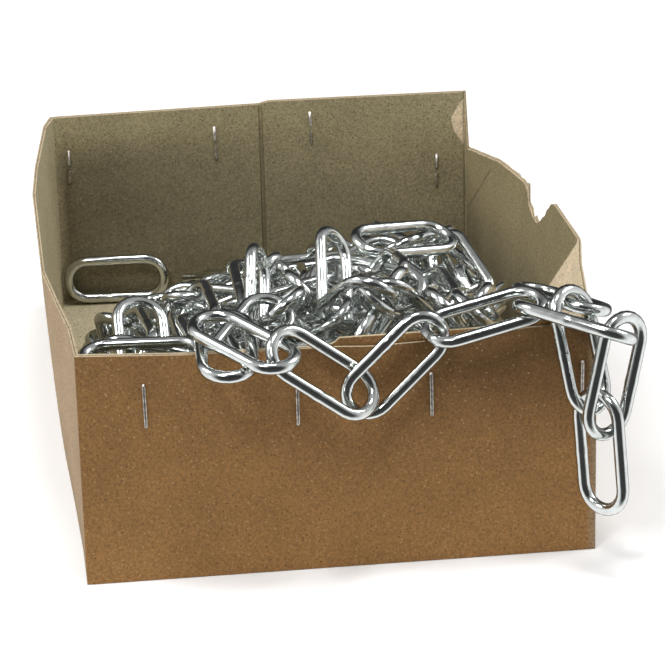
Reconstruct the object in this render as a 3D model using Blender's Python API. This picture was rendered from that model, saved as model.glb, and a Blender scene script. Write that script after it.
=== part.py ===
"""A heap of long-link steel chain in its open carton, with some links hanging over the front edge.

The frame is in metres with +Z up. The origin is the middle of the carton's underside, the carton's
front panel faces -Y, and a link's proportions follow from its wire.
"""

import math
import random

import bmesh
import bpy
import numpy as np

# Carton: a folded tray of solid board, whose side walls have flaps stitched inside both end panels
CARTON_WIDTH = 0.165
CARTON_DEPTH = 0.264
CARTON_HEIGHT = 0.078
PLY = 0.0012
END_WALL = 0.0026
HALF_WIDTH = CARTON_WIDTH / 2
HALF_DEPTH = CARTON_DEPTH / 2
BOW_AT_FOOT = 0.22
BOW_POWER = 0.6
WALL_LEVELS = (0.0, 0.12, 0.36, 0.68, 1.0)
END_STATIONS = 10

# How far each side wall bows outwards at its top, by the place along the depth
LEFT_BOW = (
    (-0.132, 0.0), (-0.108, 0.0012), (-0.080, 0.0047), (-0.050, 0.0082),
    (0.035, 0.0092), (0.068, 0.0075), (0.120, 0.0030), (0.132, 0.0),
)
RIGHT_BOW = (
    (-0.132, 0.0), (-0.107, 0.0018), (-0.076, 0.0060), (-0.053, 0.0103),
    (-0.012, 0.0092), (0.030, 0.0094), (0.080, 0.0055), (0.132, 0.0),
)
# Top edges, by the place along the panel. The right wall is torn, with a notch half way back
LEFT_TOP = 0.0776
RIGHT_TOP = (
    (-0.132, 0.0780), (-0.012, 0.0780), (-0.006, 0.0755), (0.003, 0.0695), (0.014, 0.0625),
    (0.026, 0.0615), (0.0345, 0.0645), (0.036, 0.0700), (0.056, 0.0685), (0.080, 0.0660),
    (0.101, 0.0620), (0.117, 0.0590), (0.132, 0.0560),
)
FRONT_TOP = (
    (-0.0825, 0.0778), (-0.049, 0.0761), (0.0, 0.0756), (0.010, 0.0750),
    (0.046, 0.0761), (0.060, 0.0780), (0.0825, 0.0784),
)
FRONT_FLAP_TOP = (
    (-0.0825, 0.0778), (-0.049, 0.0761), (-0.002, 0.0756), (0.0, 0.0780),
    (0.043, 0.0783), (0.063, 0.0796), (0.0825, 0.0784),
)
BACK_TOP = ((-0.0825, 0.0776), (0.0, 0.0786), (0.002, 0.0796), (0.0822, 0.0790), (0.0825, 0.0560))

# Wire stitches through the end panels, each by its place across the width and its crown's foot
STITCH_RADIUS = 0.00045
STITCH_LENGTH = 0.0145
STITCH_SIDES = 6
STITCH_TIP_GAP = 0.0016
STITCH_HOLE = 0.0017
FRONT_STITCHES = ((-0.0615, 0.0527), (-0.0135, 0.0503), (0.0290, 0.0503), (0.0773, 0.0510))
BACK_STITCHES = ((-0.0762, 0.0500), (-0.0184, 0.0565), (0.0196, 0.0605), (0.0697, 0.0400))

# Chain: one long link
WIRE = 0.0040
LINK_LENGTH = 0.0420
LINK_WIDTH = 0.0196
CLEARANCE = 0.0003
BEND_RADIUS = (LINK_WIDTH - WIRE) / 2
HALF_STRAIGHT = (LINK_LENGTH - LINK_WIDTH) / 2
HALF_SPAN = (LINK_LENGTH - WIRE) / 2
ARC_STEPS = 6
WIRE_SIDES = 6
TOUCHING = WIRE + CLEARANCE
GYRATION = 0.0145

# Room for the heap inside the carton
ROOM_X = HALF_WIDTH - PLY - CLEARANCE - WIRE / 2
ROOM_Y = HALF_DEPTH - END_WALL - CLEARANCE - WIRE / 2
FLOOR = PLY + CLEARANCE

# The plain core under the laid links: its height over the floor from the front to the back, the
# line of its left side, and the share of that height left at the foot of each flank
CORE_FRONT = -0.1270
CORE_BACK = 0.1180
CORE_RIGHT = 0.0780
CORE_RIDGE = (
    (-0.132, 0.056), (-0.100, 0.056), (-0.060, 0.052), (-0.010, 0.040), (0.040, 0.032), (0.080, 0.019),
    (0.120, 0.009),
)
CORE_LEFT = ((-0.132, -0.0770), (0.020, -0.0750), (0.070, -0.0520), (0.120, -0.0300))
CORE_SHOULDER = 0.35
CORE_LEFT_FOOT = ((-0.060, 0.75), (0.030, 0.40), (0.080, 0.15))
CORE_RIGHT_FOOT = ((-0.090, 0.75), (-0.040, 0.32))
CORE_RISE_TO_RIGHT = 0.18
CORE_COLUMNS = 13
CORE_ROWS = 25
CORE_MARGIN = 0.0005

# Links placed by the photograph, as (name, one end, other end, roll in degrees): the strand that
# spills over the front edge and hangs beyond its right corner, and single links of the heap
PLACED = (
    ("spill_link_1", (-0.0425, -0.123, 0.083), (-0.0175, -0.151, 0.081), 7),
    ("spill_link_2", (-0.0205, -0.147, 0.0825), (0.007, -0.143, 0.057), 55),
    ("spill_link_3", (0.002, -0.141, 0.061), (0.030, -0.137, 0.085), 80),
    ("spill_link_4", (0.0280, -0.1350, 0.0795), (0.0650, -0.1315, 0.0867), 13),
    ("spill_link_5", (0.0580, -0.1325, 0.0856), (0.0883, -0.1546, 0.0804), -23),
    ("spill_link_6", (0.0882, -0.1484, 0.0858), (0.0794, -0.1541, 0.0493), -88),
    ("spill_link_7", (0.0784, -0.1490, 0.0610), (0.0807, -0.1532, 0.0233), 78),
    ("spill_link_8", (0.0722, -0.1337, 0.0903), (0.0773, -0.1487, 0.0558), -19),
    ("spill_link_9", (0.0805, -0.1367, 0.0843), (0.0652, -0.1022, 0.0803), 17),
    ("edge_link", (-0.036, -0.150, 0.073), (-0.0345, -0.1135, 0.081), 0),
    ("standing_link", (-0.079, 0.1255, 0.0115), (-0.041, 0.1240, 0.0115), 90),
    ("heap_link_1", (-0.0595, -0.096, 0.0425), (-0.0585, -0.070, 0.0705), 20),
    ("heap_link_2", (-0.079, -0.112, 0.070), (-0.045, -0.120, 0.072), 10),
    ("heap_link_3", (-0.0225, -0.088, 0.0555), (-0.0185, -0.062, 0.0825), 77),
    ("heap_link_4", (0.0055, -0.074, 0.0565), (0.0085, -0.047, 0.0825), 58),
    ("heap_link_5", (0.0070, -0.1150, 0.0670), (0.0270, -0.0860, 0.0810), -75),
    ("heap_link_6", (0.0195, -0.030, 0.0740), (0.0525, -0.014, 0.0690), 18),
    ("heap_link_7", (0.0505, -0.006, 0.0640), (0.0605, -0.039, 0.0500), 60),
)
PLACED_MOBILITY = 0.02

# Strands laid on the heap before it settles, as (height over the core, way points)
LAID_STRANDS = (
    (0.010, ((0.062, 0.108), (0.000, 0.112), (-0.045, 0.092), (0.010, 0.080), (0.057, 0.070), (0.059, 0.041),
             (0.000, 0.046), (-0.060, 0.048), (-0.062, 0.015))),
    (0.012, ((-0.052, 0.012), (0.030, 0.014), (0.058, 0.000), (0.055, -0.041), (0.026, -0.060),
             (-0.010, -0.030), (-0.050, -0.020), (-0.066, -0.050), (-0.040, -0.066), (-0.040, -0.100))),
    (0.012, ((0.000, -0.110), (0.050, -0.112), (0.066, -0.090), (0.050, -0.066))),
    (0.030, ((-0.066, 0.010), (-0.040, -0.040), (0.000, -0.034), (0.040, -0.060), (0.036, -0.098),
             (-0.006, -0.096))),
    (0.028, ((-0.074, -0.092), (-0.048, -0.106), (-0.010, -0.110), (0.018, -0.104))),
)
PITCH = 0.0335
ROLL_SPREAD = 8
SETTLING_ROUNDS = 500
FALL = 0.00015
EASING_ROUNDS = 600
EASING_MARGIN = 0.00005
EAGERNESS = 1.3
ROUNDING = 1e-7
SEED = 11

# Colours, linear, with roughness and metallic value
KRAFT = ((0.238, 0.122, 0.050), 0.85, 0.0)
ZINC = ((0.72, 0.74, 0.75), 0.22, 1.0)
STITCH_STEEL = ((0.45, 0.42, 0.38), 0.40, 1.0)
HIDDEN_ZINC = ((0.30, 0.31, 0.31), 0.45, 1.0)


def clear_scene():
    for obj in list(bpy.data.objects):
        bpy.data.objects.remove(obj, do_unlink=True)


def plain_material(name, finish):
    colour, roughness, metallic = finish
    material = bpy.data.materials.new(name)
    material.use_nodes = True
    shader = material.node_tree.nodes["Principled BSDF"]
    shader.inputs["Base Color"].default_value = (*colour, 1.0)
    shader.inputs["Roughness"].default_value = roughness
    shader.inputs["Metallic"].default_value = metallic
    return material


def add_object(name, bm, material):
    """A smooth-shaded mesh object from a bmesh, with its faces turned outwards."""
    bmesh.ops.recalc_face_normals(bm, faces=bm.faces)
    mesh = bpy.data.meshes.new(name)
    bm.to_mesh(mesh)
    bm.free()
    mesh.materials.append(material)
    mesh.shade_smooth()
    mesh.set_sharp_from_angle(angle=math.radians(50))
    obj = bpy.data.objects.new(name, mesh)
    bpy.context.scene.collection.objects.link(obj)
    return obj


def bridge(bm, first, second):
    """Quads between two closed loops of as many vertices."""
    count = len(first)
    for i in range(count):
        j = (i + 1) % count
        bm.faces.new((first[i], first[j], second[j], second[i]))


def profile(points, x):
    """The value of a profile at x, straight from point to point."""
    places, values = zip(*points)
    return np.interp(x, places, values)


def bow_share(z):
    """A wall's bow grows from its foot to its top."""
    return BOW_AT_FOOT + (1 - BOW_AT_FOOT) * (np.maximum(z, 0.0) / CARTON_HEIGHT) ** BOW_POWER


def carton_stations():
    """Places round the carton as (side, share along it from -1 to 1), counter-clockwise."""
    even = [2 * i / END_STATIONS - 1 for i in range(END_STATIONS)]
    front = sorted(set(even) | {x / HALF_WIDTH for x, _ in FRONT_FLAP_TOP[2:-1]})
    back = sorted(set(even) | {-x / HALF_WIDTH for x, _ in BACK_TOP[1:-1]})
    right = sorted({y / HALF_DEPTH for y, _ in (RIGHT_TOP + RIGHT_BOW) if y < HALF_DEPTH})
    left = sorted({-y / HALF_DEPTH for y, _ in LEFT_BOW if y > -HALF_DEPTH} | {0.0, 0.15})
    stations = []
    for side, shares in (("front", front), ("right", right), ("back", back), ("left", left)):
        stations += [(side, share) for share in shares]
    return stations


def wall_point(side, along, inset, level, flap):
    """A point of the wall, from its outer face (inset 0) to its inner face (inset 1).

    The level runs from the foot of the wall to its top edge, and flap picks the inner ply's top.
    """
    half_x = HALF_WIDTH - inset * PLY
    half_y = HALF_DEPTH - inset * END_WALL
    if side == "front":
        x, y = along * half_x, -half_y
        top = profile(FRONT_FLAP_TOP if flap else FRONT_TOP, x)
    elif side == "right":
        x, y = half_x, along * half_y
        top = profile(RIGHT_TOP, y)
    elif side == "back":
        x, y = -along * half_x, half_y
        top = profile(BACK_TOP, -along * HALF_WIDTH)
    else:
        x, y = -half_x, -along * half_y
        top = LEFT_TOP
    foot = inset * PLY
    z = foot + level * (top - foot)
    if side == "right":
        x += profile(RIGHT_BOW, along * HALF_DEPTH) * bow_share(z)
    elif side == "left":
        x -= profile(LEFT_BOW, -along * HALF_DEPTH) * bow_share(z)
    return (x, y, z)


def stitch_places():
    """Each stitch as (name, x, foot of its crown, which way out of the carton along Y)."""
    front = [(f"front_stitch_{i}", x, foot, -1) for i, (x, foot) in enumerate(FRONT_STITCHES, 1)]
    back = [(f"back_stitch_{i}", x, foot, 1) for i, (x, foot) in enumerate(BACK_STITCHES, 1)]
    return front + back


def stitch_hole_cutter():
    """Square prisms through the end panels, one for each leg of a stitch."""
    bm = bmesh.new()
    for _, x, foot, out in stitch_places():
        for z in (foot, foot + STITCH_LENGTH):
            made = bmesh.ops.create_cube(bm, size=1.0)["verts"]
            bmesh.ops.scale(bm, vec=(STITCH_HOLE, 4 * END_WALL, STITCH_HOLE), verts=made)
            bmesh.ops.translate(bm, vec=(x, out * HALF_DEPTH, z), verts=made)
    cutter = add_object("stitch_holes", bm, None)
    cutter.hide_render = True
    cutter.display_type = "WIRE"
    return cutter


def make_carton(material):
    stations = carton_stations()
    rings = [(0, level, False) for level in WALL_LEVELS]
    rings += [(0.5, 1.0, False), (0.5, 1.0, True)]
    rings += [(1, level, True) for level in reversed(WALL_LEVELS)]
    bm = bmesh.new()
    loops = []
    for inset, level, flap in rings:
        loops.append([bm.verts.new(wall_point(*place, inset, level, flap)) for place in stations])
    for lower, upper in zip(loops, loops[1:]):
        bridge(bm, lower, upper)
    bm.faces.new(reversed(loops[0]))
    bm.faces.new(loops[-1])
    bmesh.ops.remove_doubles(bm, verts=bm.verts, dist=1e-6)
    carton = add_object("carton", bm, material)
    holes = carton.modifiers.new("stitch holes", "BOOLEAN")
    holes.operation = "DIFFERENCE"
    holes.object = stitch_hole_cutter()


def add_wire(bm, route, plane_normal, radius, sides, closed):
    """A round wire along a flat route, mitred at each point of it."""
    count = len(route)
    rings = []
    for i, point in enumerate(route):
        before = route[i - 1] if closed or i > 0 else 2 * point - route[i + 1]
        after = route[(i + 1) % count] if closed or i < count - 1 else 2 * point - route[i - 1]
        ahead = (after - point) / np.linalg.norm(after - point)
        behind = (point - before) / np.linalg.norm(point - before)
        tangent = (ahead + behind) / np.linalg.norm(ahead + behind)
        across = np.cross(plane_normal, tangent) / float(tangent @ ahead)
        ring = []
        for k in range(sides):
            turn = 2 * math.pi * k / sides
            out = math.cos(turn) * across + math.sin(turn) * plane_normal
            ring.append(bm.verts.new(point + radius * out))
        rings.append(ring)
    for first, second in zip(rings, rings[1:]):
        bridge(bm, first, second)
    if closed:
        bridge(bm, rings[-1], rings[0])
    else:
        bm.faces.new(reversed(rings[0]))
        bm.faces.new(rings[-1])


def make_stitches(material):
    """Each stitch has its crown outside the panel and both legs bent together inside it."""
    reach = STITCH_RADIUS + CLEARANCE
    for name, x, foot, out in stitch_places():
        outside = out * (HALF_DEPTH + reach)
        inside = out * (HALF_DEPTH - END_WALL - reach)
        head = foot + STITCH_LENGTH
        middle = foot + STITCH_LENGTH / 2
        profile_points = (
            (inside, middle + STITCH_TIP_GAP / 2), (inside, head), (outside, head),
            (outside, foot), (inside, foot), (inside, middle - STITCH_TIP_GAP / 2),
        )
        route = [np.array((x, y, z)) for y, z in profile_points]
        bm = bmesh.new()
        add_wire(bm, route, np.array((1.0, 0.0, 0.0)), STITCH_RADIUS, STITCH_SIDES, closed=False)
        add_object(name, bm, material)


def link_outline(straight_steps):
    """The middle of a link's wire, counter-clockwise in the link's own plane."""
    turns = [math.pi * (i / ARC_STEPS - 0.5) for i in range(ARC_STEPS + 1)]
    far = [(HALF_STRAIGHT + BEND_RADIUS * math.cos(t), BEND_RADIUS * math.sin(t)) for t in turns]
    shares = [1 - 2 * i / straight_steps for i in range(1, straight_steps)]
    half = far + [(share * HALF_STRAIGHT, BEND_RADIUS) for share in shares]
    return np.array(half + [(-x, -y) for x, y in half])


OUTLINE = link_outline(1)
FINE_OUTLINE = link_outline(4)


def unit(vectors):
    return vectors / np.linalg.norm(vectors, axis=-1, keepdims=True)


def dot(first, second):
    return (first * second).sum(-1)


def link_frame(axis, roll_degrees):
    """A link's directions as rows: along it, across it and square to both. At roll 0 it lies level."""
    axis = unit(axis)
    level = unit(np.cross((0.0, 0.0, 1.0), axis))
    roll = math.radians(roll_degrees)
    width = math.cos(roll) * level + math.sin(roll) * np.cross(axis, level)
    return np.array((axis, width, np.cross(axis, width)))


def closest_places(start, step, other_start, other_step):
    """Where each straight stretch comes closest to the other one of its pair."""
    offset = start - other_start
    length, other_length = dot(step, step), dot(other_step, other_step)
    both, along, other_along = dot(step, other_step), dot(step, offset), dot(other_step, offset)
    spread = np.maximum(length * other_length - both * both, 1e-16)
    share = np.clip((both * other_along - along * other_length) / spread, 0, 1)
    other_share = np.clip((both * share + other_along) / other_length, 0, 1)
    share = np.clip((both * other_share - along) / length, 0, 1)
    return start + share[:, None] * step, other_start + other_share[:, None] * other_step


class Heap:
    """Links that lie together, each by its name, middle, frame of directions and mobility."""

    def __init__(self):
        self.names = []
        self.middles = np.empty((0, 3))
        self.frames = np.empty((0, 3, 3))
        self.mobility = np.empty(0)

    def add(self, name, start, end, roll_degrees, mobility=1.0):
        """Adds a link from the middle of its wire at one end to that at the other."""
        start, end = np.array(start), np.array(end)
        self.names.append(name)
        self.middles = np.vstack([self.middles, (start + end) / 2])
        self.frames = np.concatenate([self.frames, [link_frame(end - start, roll_degrees)]])
        self.mobility = np.append(self.mobility, mobility)

    def routes(self, outline):
        along = outline[None, :, :1] * self.frames[:, None, 0]
        across = outline[None, :, 1:] * self.frames[:, None, 1]
        return self.middles[:, None] + along + across

    def contacts(self):
        """Where two wires come too close: both links, both places, the direction and how deep."""
        routes = self.routes(OUTLINE)
        steps = np.roll(routes, -1, axis=1) - routes
        reach = np.linalg.norm(steps, axis=2) / 2
        centres = routes + steps / 2
        apart = np.linalg.norm(self.middles[:, None] - self.middles, axis=2)
        one, other = np.nonzero(np.triu(apart < LINK_LENGTH + WIRE, 1))
        between = np.linalg.norm(centres[one][:, :, None] - centres[other][:, None], axis=3)
        bound = reach[one][:, :, None] + reach[other][:, None] + 2 * WIRE
        pair, i, k = np.nonzero(between < bound)
        one, other = one[pair], other[pair]
        ends = routes[one, i], steps[one, i], routes[other, k], steps[other, k]
        place, other_place = closest_places(*ends)
        gap = np.linalg.norm(place - other_place, axis=1)
        close = (gap < TOUCHING + EASING_MARGIN) & (gap > ROUNDING)
        one, other, gap = one[close], other[close], gap[close]
        place, other_place = place[close], other_place[close]
        direction = (place - other_place) / gap[:, None]
        return one, other, place, other_place, direction, TOUCHING + 2 * EASING_MARGIN - gap

    def give_way(self, who, places, pushes):
        """Shifts and turns each link by the mean of the pushes at its places."""
        count = np.maximum(np.bincount(who, minlength=len(self.names)), 1)[:, None]
        shift, turn = np.zeros_like(self.middles), np.zeros_like(self.middles)
        np.add.at(shift, who, pushes)
        np.add.at(turn, who, np.cross(places - self.middles[who], pushes) / GYRATION**2)
        self.middles = self.middles + EAGERNESS * shift / count
        turned = self.frames + np.cross((EAGERNESS * turn / count)[:, None], self.frames)
        axis = unit(turned[:, 0])
        width = unit(turned[:, 1] - dot(turned[:, 1], axis)[:, None] * axis)
        self.frames = np.stack([axis, width, np.cross(axis, width)], axis=1)

    def response(self, who, places, direction):
        """How far each link gives way at a place for a unit push in a direction."""
        lever = np.cross(places - self.middles[who], direction) / GYRATION
        return self.mobility[who] * (1 + dot(lever, lever))

    def relax(self, fall):
        """Lets every link fall a little and give way to what it touches. Returns the deepest overlap."""
        self.middles[:, 2] -= fall * (self.mobility >= 1)
        one, other, place, other_place, direction, depth = self.contacts()
        response = self.response(one, place, direction)
        other_response = self.response(other, other_place, direction)
        size = (depth / (response + other_response))[:, None]
        pushes = direction * size * self.mobility[one][:, None]
        other_pushes = -direction * size * self.mobility[other][:, None]
        fine = self.routes(FINE_OUTLINE)
        carton = carton_pushes(fine)
        who, i = np.nonzero(carton.any(axis=2))
        strength = np.linalg.norm(carton[who, i], axis=1)
        carton_direction = carton[who, i] / strength[:, None]
        carton_response = self.response(who, fine[who, i], carton_direction) / self.mobility[who]
        self.give_way(
            np.concatenate([one, other, who]),
            np.concatenate([place, other_place, fine[who, i]]),
            np.concatenate([pushes, other_pushes, carton[who, i] / carton_response[:, None]]),
        )
        return max([0.0, *depth, *strength])

    def settle(self, rounds, fall):
        """Falls more and more slowly, then only eases apart what still overlaps."""
        for i in range(rounds):
            self.relax(fall * (1 - i / rounds))
        for _ in range(EASING_ROUNDS):
            if self.relax(0.0) == 0.0:
                break


def core_top(x, y):
    """The height of the core's top at a place: a mound that rises to the right and falls at both flanks."""
    left = profile(CORE_LEFT, y)
    share = np.clip((x - left) / (CORE_RIGHT - left), 0, 1)
    height = profile(CORE_RIDGE, y) * (1 + CORE_RISE_TO_RIGHT * (share - 0.5))
    left_foot = profile(CORE_LEFT_FOOT, y)
    left_flank = left_foot + (1 - left_foot) * np.minimum(share / CORE_SHOULDER, 1)
    right_foot = profile(CORE_RIGHT_FOOT, y)
    right_flank = right_foot + (1 - right_foot) * np.minimum((1 - share) / CORE_SHOULDER, 1)
    return FLOOR + height * np.minimum(left_flank, right_flank)


def ground(x, y):
    """What is under a place: the core, the carton's floor or, in front of the carton, the table."""
    over_core = (y < CORE_BACK + WIRE) & (x > profile(CORE_LEFT, y) - WIRE)
    inside = np.where(over_core, core_top(x, y) + CORE_MARGIN, FLOOR)
    return np.where(y > -HALF_DEPTH, inside, 0.0)


def carton_pushes(places):
    """The push on each place of a wire that takes it off the ground, the core and the walls."""
    x, y, z = places[..., 0], places[..., 1], places[..., 2]
    pushes = np.zeros_like(places)
    pushes[..., 2] = np.maximum(ground(x, y) + WIRE / 2 - z, 0)
    inside = y > -HALF_DEPTH
    share = bow_share(z)
    right = x - ROOM_X - profile(RIGHT_BOW, y) * share
    left = -x - ROOM_X - profile(LEFT_BOW, y) * share
    low = inside & (z < CARTON_HEIGHT + WIRE / 2)
    pushes[..., 0] = np.where(low, np.maximum(left, 0) - np.maximum(right, 0), 0)
    pushes[..., 1] = -np.maximum(y - ROOM_Y, 0)
    face, inner_face = -HALF_DEPTH - TOUCHING / 2 - EASING_MARGIN, -ROOM_Y
    edge = np.maximum(profile(FRONT_TOP, x), profile(FRONT_FLAP_TOP, x)) + TOUCHING / 2
    over_panel = (abs(x) < HALF_WIDTH + WIRE / 2) & (y > face) & (y < inner_face)
    outwards, upwards, inwards = y - face, edge + EASING_MARGIN - z, inner_face - y
    least = np.minimum(np.minimum(outwards, upwards), inwards)
    in_panel = over_panel & (z < edge)
    pushes[..., 1] += np.where(in_panel & (least == outwards), -outwards, 0)
    pushes[..., 1] += np.where(in_panel & (least == inwards), inwards, 0)
    pushes[..., 2] += np.where(in_panel & (least == upwards), upwards, 0)
    return pushes


def make_core(material):
    bm = bmesh.new()
    grids = []
    for on_top in (True, False):
        grid = []
        for i in range(CORE_ROWS):
            y = CORE_FRONT + (CORE_BACK - CORE_FRONT) * i / (CORE_ROWS - 1)
            left = profile(CORE_LEFT, y)
            row = []
            for k in range(CORE_COLUMNS):
                x = left + (CORE_RIGHT - left) * k / (CORE_COLUMNS - 1)
                row.append(bm.verts.new((x, y, core_top(x, y) if on_top else FLOOR)))
            grid.append(row)
        grids.append(grid)
    for grid in grids:
        for near, far in zip(grid, grid[1:]):
            for k in range(CORE_COLUMNS - 1):
                bm.faces.new((near[k], near[k + 1], far[k + 1], far[k]))
    rims = []
    for grid in grids:
        rims.append(
            grid[0] + [row[-1] for row in grid[1:-1]] + grid[-1][::-1] + [row[0] for row in grid[-2:0:-1]]
        )
    bridge(bm, rims[0], rims[1])
    add_object("chain_core", bm, material)


def strand_joints(way_points, height):
    """Places one pitch apart along a smooth line through the way points, this high over the core."""
    points = np.array([way_points[0], *way_points, way_points[-1]])
    line = []
    for a, b, c, d in zip(points, points[1:], points[2:], points[3:]):
        for t in np.linspace(0, 1, 20, endpoint=False):
            curve = 2 * b + (c - a) * t + (2 * a - 5 * b + 4 * c - d) * t**2 + (3 * b - a - 3 * c + d) * t**3
            line.append(curve / 2)
    joints = [line[0]]
    for point in line:
        if np.linalg.norm(point - joints[-1]) >= PITCH:
            joints.append(joints[-1] + (point - joints[-1]) / np.linalg.norm(point - joints[-1]) * PITCH)
    return [np.array((x, y, ground(x, y) + height)) for x, y in joints]


def lay_strand(heap, letter, way_points, height, chance):
    """Adds a strand to the heap, its links lapping at the joints and rolled each way by turns."""
    joints = strand_joints(way_points, height)
    for number, (start, end) in enumerate(zip(joints, joints[1:]), 1):
        lap = unit(end - start) * (HALF_SPAN - PITCH / 2)
        roll = 45 + 90 * (number % 2) + chance.gauss(0, ROLL_SPREAD)
        heap.add(f"strand_{letter}_link_{number:02d}", start - lap, end + lap, roll)


def make_link(name, route, plane_normal, material):
    bm = bmesh.new()
    add_wire(bm, list(route), plane_normal, WIRE / 2, WIRE_SIDES, closed=True)
    add_object(name, bm, material)


def main():
    clear_scene()
    make_carton(plain_material("kraft board", KRAFT))
    make_stitches(plain_material("stitching wire", STITCH_STEEL))
    make_core(plain_material("hidden zinc", HIDDEN_ZINC))
    heap = Heap()
    chance = random.Random(SEED)
    for name, start, end, roll in PLACED:
        heap.add(name, start, end, roll, mobility=PLACED_MOBILITY)
    heap.settle(0, 0.0)
    for letter, (height, way_points) in zip("abcde", LAID_STRANDS):
        lay_strand(heap, letter, way_points, height, chance)
    heap.settle(SETTLING_ROUNDS, FALL)
    zinc = plain_material("bright zinc", ZINC)
    for name, route, frame in zip(heap.names, heap.routes(OUTLINE), heap.frames):
        make_link(name, route, frame[2], zinc)


main()
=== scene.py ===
"""The looks of a heap of long-link steel chain in its open carton.

Every link of the frame gets a smooth welded link in its place, the plain core gives way to the loose links
that it stands for, and the carton gets its plies, creases, torn edge and speckled board. Lengths are in
metres and angles in degrees. In a table of pairs, the first number is the place and the second the value.
"""

import math
import random

import bmesh
import bpy
import numpy as np
from mathutils import Euler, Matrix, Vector


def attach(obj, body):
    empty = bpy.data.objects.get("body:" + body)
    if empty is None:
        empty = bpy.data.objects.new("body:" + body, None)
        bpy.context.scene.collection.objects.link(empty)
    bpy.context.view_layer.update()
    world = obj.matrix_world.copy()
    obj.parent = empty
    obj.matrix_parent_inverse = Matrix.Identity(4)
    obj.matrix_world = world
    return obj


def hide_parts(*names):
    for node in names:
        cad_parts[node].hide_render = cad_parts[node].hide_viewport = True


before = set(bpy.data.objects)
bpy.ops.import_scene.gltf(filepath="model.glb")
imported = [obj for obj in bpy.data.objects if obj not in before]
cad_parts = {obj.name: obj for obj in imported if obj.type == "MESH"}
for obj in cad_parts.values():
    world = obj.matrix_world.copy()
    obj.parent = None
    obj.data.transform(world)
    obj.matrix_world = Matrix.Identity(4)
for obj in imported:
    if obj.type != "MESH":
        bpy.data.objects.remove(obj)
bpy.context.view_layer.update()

# The photograph's view, with the lens and the sensor in millimetres
CAMERA_PLACE = (-0.09582, -1.00234, 0.41230)
CAMERA_TURN = (69.239, 1.350, -6.670)
CAMERA_LENS = 162.41
CAMERA_SENSOR = 36.0
CAMERA_NEAREST = 0.01

# The studio's brightness towards front and back, and upwards: a span of the direction, and its values
BRIGHTNESS_BY_DEPTH = ((0.40, 0.72), (1.0, 0.05))
BRIGHTNESS_BY_HEIGHT = ((-0.2, 1.0), (1.40, 0.30))

# Lamps by name, place, size and watts, and the place that they face
LAMPS = (
    ("left", (-1.1, 0.00, 1.1), (0.5, 0.5), 13),
    ("right", (1.1, 0.10, 1.0), (0.5, 0.5), 7),
    ("top", (0.1, -0.30, 1.6), (0.35, 0.3), 11),
    ("high front", (-0.45, -0.95, 1.25), (0.4, 0.3), 9),
)
LAMP_TARGET = (0.0, 0.0, 0.03)
STAGE_HALF_SIZE = 4.0
STAGE_HEIGHT = -0.0002
STAGE_COLOUR = (0.90, 0.90, 0.90, 1.0)
STAGE_ROUGHNESS = 0.9
STAGE_SPECULAR = 0.1

# The carton, as the frame has it
HALF_WIDTH = 0.0825
HALF_DEPTH = 0.132
CARTON_HEIGHT = 0.078
PLY = 0.0012
END_WALL = 0.0026

# How far the side walls' tops bow outwards along y, and how their bow grows from the foot
LEFT_BOW = (
    (-0.132, 0.0), (-0.108, 0.0012), (-0.080, 0.0047), (-0.050, 0.0082),
    (0.035, 0.0092), (0.068, 0.0075), (0.120, 0.0030), (0.132, 0.0),
)
RIGHT_BOW = (
    (-0.132, 0.0), (-0.107, 0.0018), (-0.076, 0.0060), (-0.053, 0.0103),
    (-0.012, 0.0092), (0.030, 0.0094), (0.080, 0.0055), (0.132, 0.0),
)
BOW_AT_FOOT = 0.22
BOW_POWER = 0.6

# The walls' top edges, along y at the sides and along x at the ends
LEFT_TOP = 0.0776
RIGHT_TOP = (
    (-0.132, 0.0780), (-0.012, 0.0780), (-0.006, 0.0755), (0.003, 0.0695), (0.014, 0.0625),
    (0.026, 0.0615), (0.0345, 0.0645), (0.036, 0.0700), (0.056, 0.0685), (0.080, 0.0660),
    (0.101, 0.0620), (0.117, 0.0590), (0.132, 0.0560),
)
FRONT_TOP = (
    (-0.0825, 0.0778), (-0.049, 0.0761), (0.0, 0.0756), (0.010, 0.0750),
    (0.046, 0.0761), (0.060, 0.0780), (0.0825, 0.0784),
)
FRONT_FLAP_TOP = (
    (-0.0825, 0.0778), (-0.049, 0.0761), (-0.002, 0.0756), (0.0, 0.0780),
    (0.043, 0.0783), (0.063, 0.0796), (0.0825, 0.0784),
)
BACK_TOP = ((-0.0825, 0.0776), (0.0, 0.0786), (0.002, 0.0796), (0.0822, 0.0790), (0.0825, 0.0560))

# The right wall's torn edge along y: how far it strays, its waves as (pace, shift, share), and how much
# lower its inner ply lies behind the notch
TEAR_AMOUNT = (
    (-0.015, 0.0), (0.0, 0.0006), (0.020, 0.0012), (0.040, 0.0008), (0.060, 0.0002), (0.132, 0.0002),
)
TEAR_WAVES = ((900, 2, 0.50), (2100, 5, 0.35), (4300, 0, 0.25))
TEAR_SLANT = 0.0008

# The right wall's crease towards its front corner as height along y, and the bend in front of it
FRONT_CREASE = ((-0.0520, 0.0900), (-0.0505, 0.0765), (0.0490, 0.0000))
CREASE_DEPTH = 0.0005
CREASE_REACH = 0.020

# Where the back panel's ply is torn off, as x by height
TORN_PLY = (
    (0.0560, 0.0830), (0.0600, 0.0780), (0.0680, 0.0755), (0.0725, 0.0775), (0.0775, 0.0815),
    (0.0785, 0.0830),
)

# Painted shade: the thin dark line of the fold in the right wall's back part as height along y, and the back
# panel's dark cut end
BACK_FOLD = ((0.0800, 0.1400), (0.0887, 0.0600), (0.1077, 0.0452), (0.1303, 0.0285))
PANEL_END = 0.0811

# The gap between the back panel's two flaps: from where in the wall's thickness, its half width, its depth
SEAM_INSET = 0.55
SEAM_HALF = 0.0006
SEAM_DEPTH = 0.0011

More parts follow.
